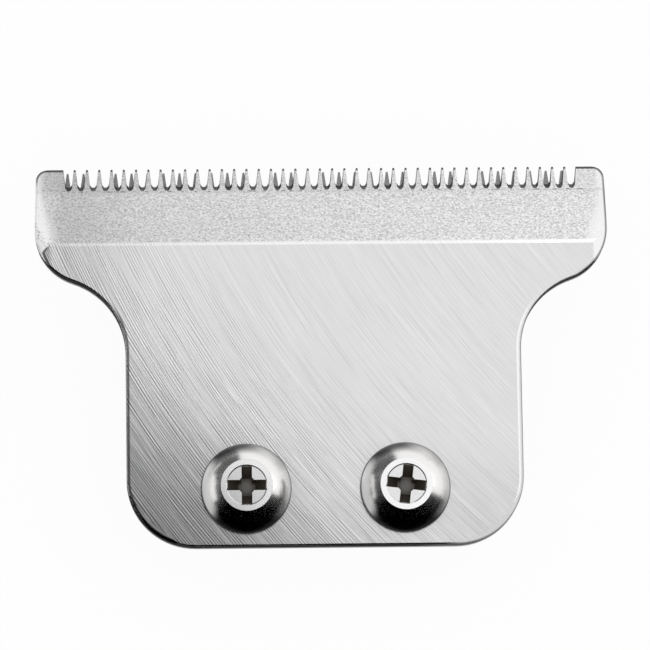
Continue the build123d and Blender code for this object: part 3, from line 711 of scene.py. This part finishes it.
def sheet_of(name, corners, material):
    """A flat piece of the stage through corner points."""
    mesh = bpy.data.meshes.new(name)
    mesh.from_pydata([Vector(corner) * MM for corner in corners], [], [range(len(corners))])
    mesh.materials.append(material)
    sheet = bpy.data.objects.new(name, mesh)
    bpy.context.collection.objects.link(sheet)
    return sheet


def floor():
    """A white floor that keeps the shadow."""
    paint = bpy.data.materials.new("white_floor")
    paint.use_nodes = True
    tree = paint.node_tree
    shader = tree.nodes["Principled BSDF"]
    shader.inputs["Base Color"].default_value = FLOOR_GREY
    shader.inputs["Roughness"].default_value = FLOOR_ROUGHNESS
    show_white(tree, shader.outputs[0], FLOOR_GLOW, tree.nodes["Material Output"].inputs["Surface"])
    half = FLOOR_SIZE / 2
    corners = [(-half, -half), (half, -half), (half, half), (-half, half)]
    sheet_of("floor", [(x, y, -FLOOR_DEPTH) for x, y in corners], paint)


def card(name, corners, level):
    """A card beside the set that only shows in its reflections."""
    paint = bpy.data.materials.new(name)
    paint.use_nodes = True
    tree = paint.node_tree
    glow = tree.nodes.new("ShaderNodeEmission")
    glow.inputs["Strength"].default_value = level
    tree.links.new(glow.outputs[0], tree.nodes["Material Output"].inputs["Surface"])
    sheet = sheet_of(name, corners, paint)
    sheet.visible_camera = False
    sheet.visible_diffuse = False
    sheet.visible_transmission = False
    sheet.visible_shadow = False


def upright(name, start, end, heights, level):
    """A card that stands on the floor between two places, with its height at each."""
    (x0, y0), (x1, y1) = start, end
    card(name, [(x0, y0, 0), (x1, y1, 0), (x1, y1, heights[1]), (x0, y0, heights[0])], level)


def side_card(name, x, outline, level):
    """A card at one place along X, from its outline in Y and Z."""
    card(name, [(x, y, z) for y, z in outline], level)


def level_card(name, height, outline, level):
    """A card that lies or hangs level at one height, from its outline in X and Y."""
    card(name, [(x, y, height) for x, y in outline], level)


def softbox(name, place, size, level):
    """A square lamp that faces the set."""
    lamp = bpy.data.lights.new(name, "AREA")
    lamp.shape = "SQUARE"
    lamp.size = size * MM
    lamp.energy = level * math.pi * (size * MM) ** 2
    box = bpy.data.objects.new(name, lamp)
    box.location = Vector(place) * MM
    box.rotation_euler = (CAMERA_TARGET - Vector(place)).to_track_quat("-Z", "Y").to_euler()
    bpy.context.collection.objects.link(box)


def surroundings():
    """A world that fills the shadows and looks white."""
    world = bpy.data.worlds.new("studio")
    world.use_nodes = True
    tree = world.node_tree
    fill = tree.nodes["Background"]
    fill.inputs["Color"].default_value = WHITE
    fill.inputs["Strength"].default_value = FILL_LEVEL
    show_white(tree, fill.outputs[0], 1.0, tree.nodes["World Output"].inputs["Surface"])
    bpy.context.scene.world = world


def standing_cards():
    """Dark cards round the front and left, and two bright ones, which the screw heads and edges mirror."""
    left = LEFT_CARD_X
    front = FRONT_CARD_Y
    upright("front_card", (left, front), (90, front), heights=(82, 82), level=0.0)
    upright("right_front_card", (90, front), (160, -30), heights=(95, 100), level=0.01)
    upright("left_front_card", (left, -28), (left, front), heights=(72, 82), level=0.01)
    side_card("left_high_card", left, [(30, 26), (-28, 26), (-28, 97), (30, 97)], level=0.04)
    side_card("left_card", left, [(45, 18), (30, 18), (30, 56), (45, 56)], level=0.03)
    upright("far_left_card", (left, 70), (left, 45), heights=(56, 50), level=0.1)
    upright("back_left_card", (-26, 115), (left, 70), heights=(95, 56), level=0.1)
    left_light = [(30, 75), (60, 75), (60, 130), (37, 130), (37, 97), (30, 97)]
    side_card("left_light_card", LEFT_LIGHT_X, left_light, level=1.2)
    back_light = [(25, 60), (100, 60), (100, 105), (25, 105)]
    card("back_light_card", [(x, BACK_LIGHT_Y, z) for x, z in back_light], level=1.5)


def level_cards():
    """Dark cards on the floor, which the edges mirror, and overhead, which the front face mirrors."""
    near_floor = [
        (-90, -60), (110, -60), (110, -12), (27, -6.5), (9, -6),
        (5, -3.2), (-12.8, -3.2), (-12.8, 16), (-40, 25),
    ]
    level_card("near_floor_card", FLOOR_CARD_HEIGHT, near_floor, level=0.0)
    right_floor = [(12.9, 9), (40, 2), (40, 25), (12.9, 16)]
    level_card("right_floor_card", FLOOR_CARD_HEIGHT, right_floor, level=0.0)
    overhead = [
        (-34, 12), (-34, 33.8), (150, -123.6), (150, -150),
        (-92, -150), (-92, -25), (-80, -10), (-80, 12),
    ]
    level_card("overhead_card", OVERHEAD_HEIGHT, overhead, level=0.0)
    overhead_side = [(-80, 12), (-34, 12), (-34, 26), (-80, 26)]
    level_card("overhead_side_card", OVERHEAD_HEIGHT, overhead_side, level=0.05)
    overhead_left = [
        (-80, 40), (-34, 40), (-34, 33), (-20.5, 32), (-20.5, 44), (-45, 52),
        (-38, 62), (-38, 140), (-110, 140), (-110, 75), (-80, 60),
    ]
    level_card("overhead_left_card", OVERHEAD_HEIGHT, overhead_left, level=0.05)


def camera():
    """The photograph's camera."""
    level = math.cos(CAMERA_TILT)
    back = Vector((math.sin(CAMERA_YAW) * level, -math.sin(CAMERA_TILT), math.cos(CAMERA_YAW) * level))
    back.normalize()
    right = Vector((0, 1, 0)).cross(back).normalized()
    up = back.cross(right)
    turned_right = math.cos(CAMERA_ROLL) * right + math.sin(CAMERA_ROLL) * up
    turned_up = math.cos(CAMERA_ROLL) * up - math.sin(CAMERA_ROLL) * right
    lens = bpy.data.cameras.new("photo_camera")
    lens.sensor_width = SENSOR
    lens.lens = FOCAL_PIXELS * SENSOR / IMAGE_PIXELS
    view = bpy.data.objects.new("photo_camera", lens)
    turn = Matrix((turned_right, turned_up, back)).transposed().to_4x4()
    view.matrix_world = Matrix.Translation((CAMERA_TARGET + CAMERA_DISTANCE * back) * MM) @ turn
    bpy.context.collection.objects.link(view)
    bpy.context.scene.camera = view


dress("fixed_blade", BladeSteel().build())
dress("moving_blade", cutter_steel())
dress("blade_screws", screw_plating())
dress("tension_spring", spring_wire())
carrier_plastic = moulded_plastic(
    "carrier_plastic", dark=grey(0.022), light=grey(0.042), grain_size=0.16, roughness=(0.38, 0.55)
)
dress("blade_carrier", carrier_plastic)
fork_plastic = moulded_plastic(
    "fork_plastic", dark=grey(0.74, 0.02), light=grey(0.86, 0.02), grain_size=0.25, roughness=(0.3, 0.42)
)
dress("drive_fork", fork_plastic)
floor()
surroundings()
softbox("key_softbox", place=(220, 70, 150), size=150, level=0.6)
standing_cards()
level_cards()
camera()
bpy.context.scene.view_settings.view_transform = "Standard"
